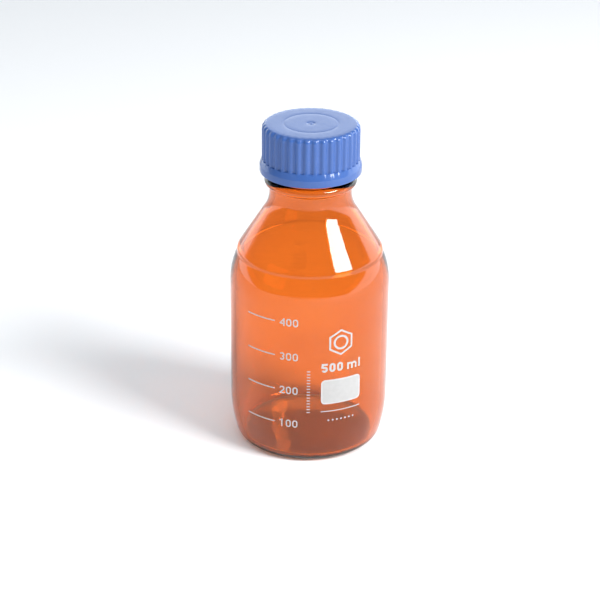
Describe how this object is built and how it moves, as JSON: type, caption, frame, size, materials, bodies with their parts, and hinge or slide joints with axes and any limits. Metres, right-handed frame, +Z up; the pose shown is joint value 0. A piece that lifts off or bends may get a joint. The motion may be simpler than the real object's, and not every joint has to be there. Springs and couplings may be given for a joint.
{
  "type": "reagent bottle",
  "caption": "Amber glass reagent bottle with a sloping shoulder, white printed scale and writing panel, pouring ring and ribbed blue screw cap.",
  "frame": {"origin": "centre of the ring that the bottle stands on, at the level of the surface under it", "axes": "+Z up along the bottle's axis; the front of the print, between the scale and the writing panel, faces -Y; +X is to the right seen from the front"},
  "size_m": [0.086, 0.0861, 0.181],
  "materials": {
    "amber_glass": "fire-polished clear glass with an amber stain on its outer face",
    "white_enamel": "fired-on satin enamel",
    "ring_plastic": "moulded polypropylene, satin",
    "cap_plastic": "moulded polypropylene, satin with a fine grain"
  },
  "bodies": {
    "bottle_body": {"bottle": "amber_glass", "scale_marks": "white_enamel", "scale_numerals": "white_enamel", "capacity_mark": "white_enamel", "writing_panel": "white_enamel", "emblem": "white_enamel", "small_marks": "white_enamel"},
    "ring_body": {"pouring_ring": "ring_plastic"},
    "cap_body": {"cap": "cap_plastic"}
  },
  "joints": [
    {"name": "cap_turn", "type": "hinge", "parent": "bottle_body", "child": "ring_body", "pos_m": [0, 0, 0.176], "axis": [0, 0, 1], "range_deg": [0, 2880]},
    {"name": "cap_rise", "type": "slide", "parent": "ring_body", "child": "cap_body", "axis": [0, 0, 1], "range_m": [0, 0.032]}
  ],
  "couplings": [
    {"joint": "cap_rise", "follows": "cap_turn", "m_per_rad": 0.00063661}
  ]
}
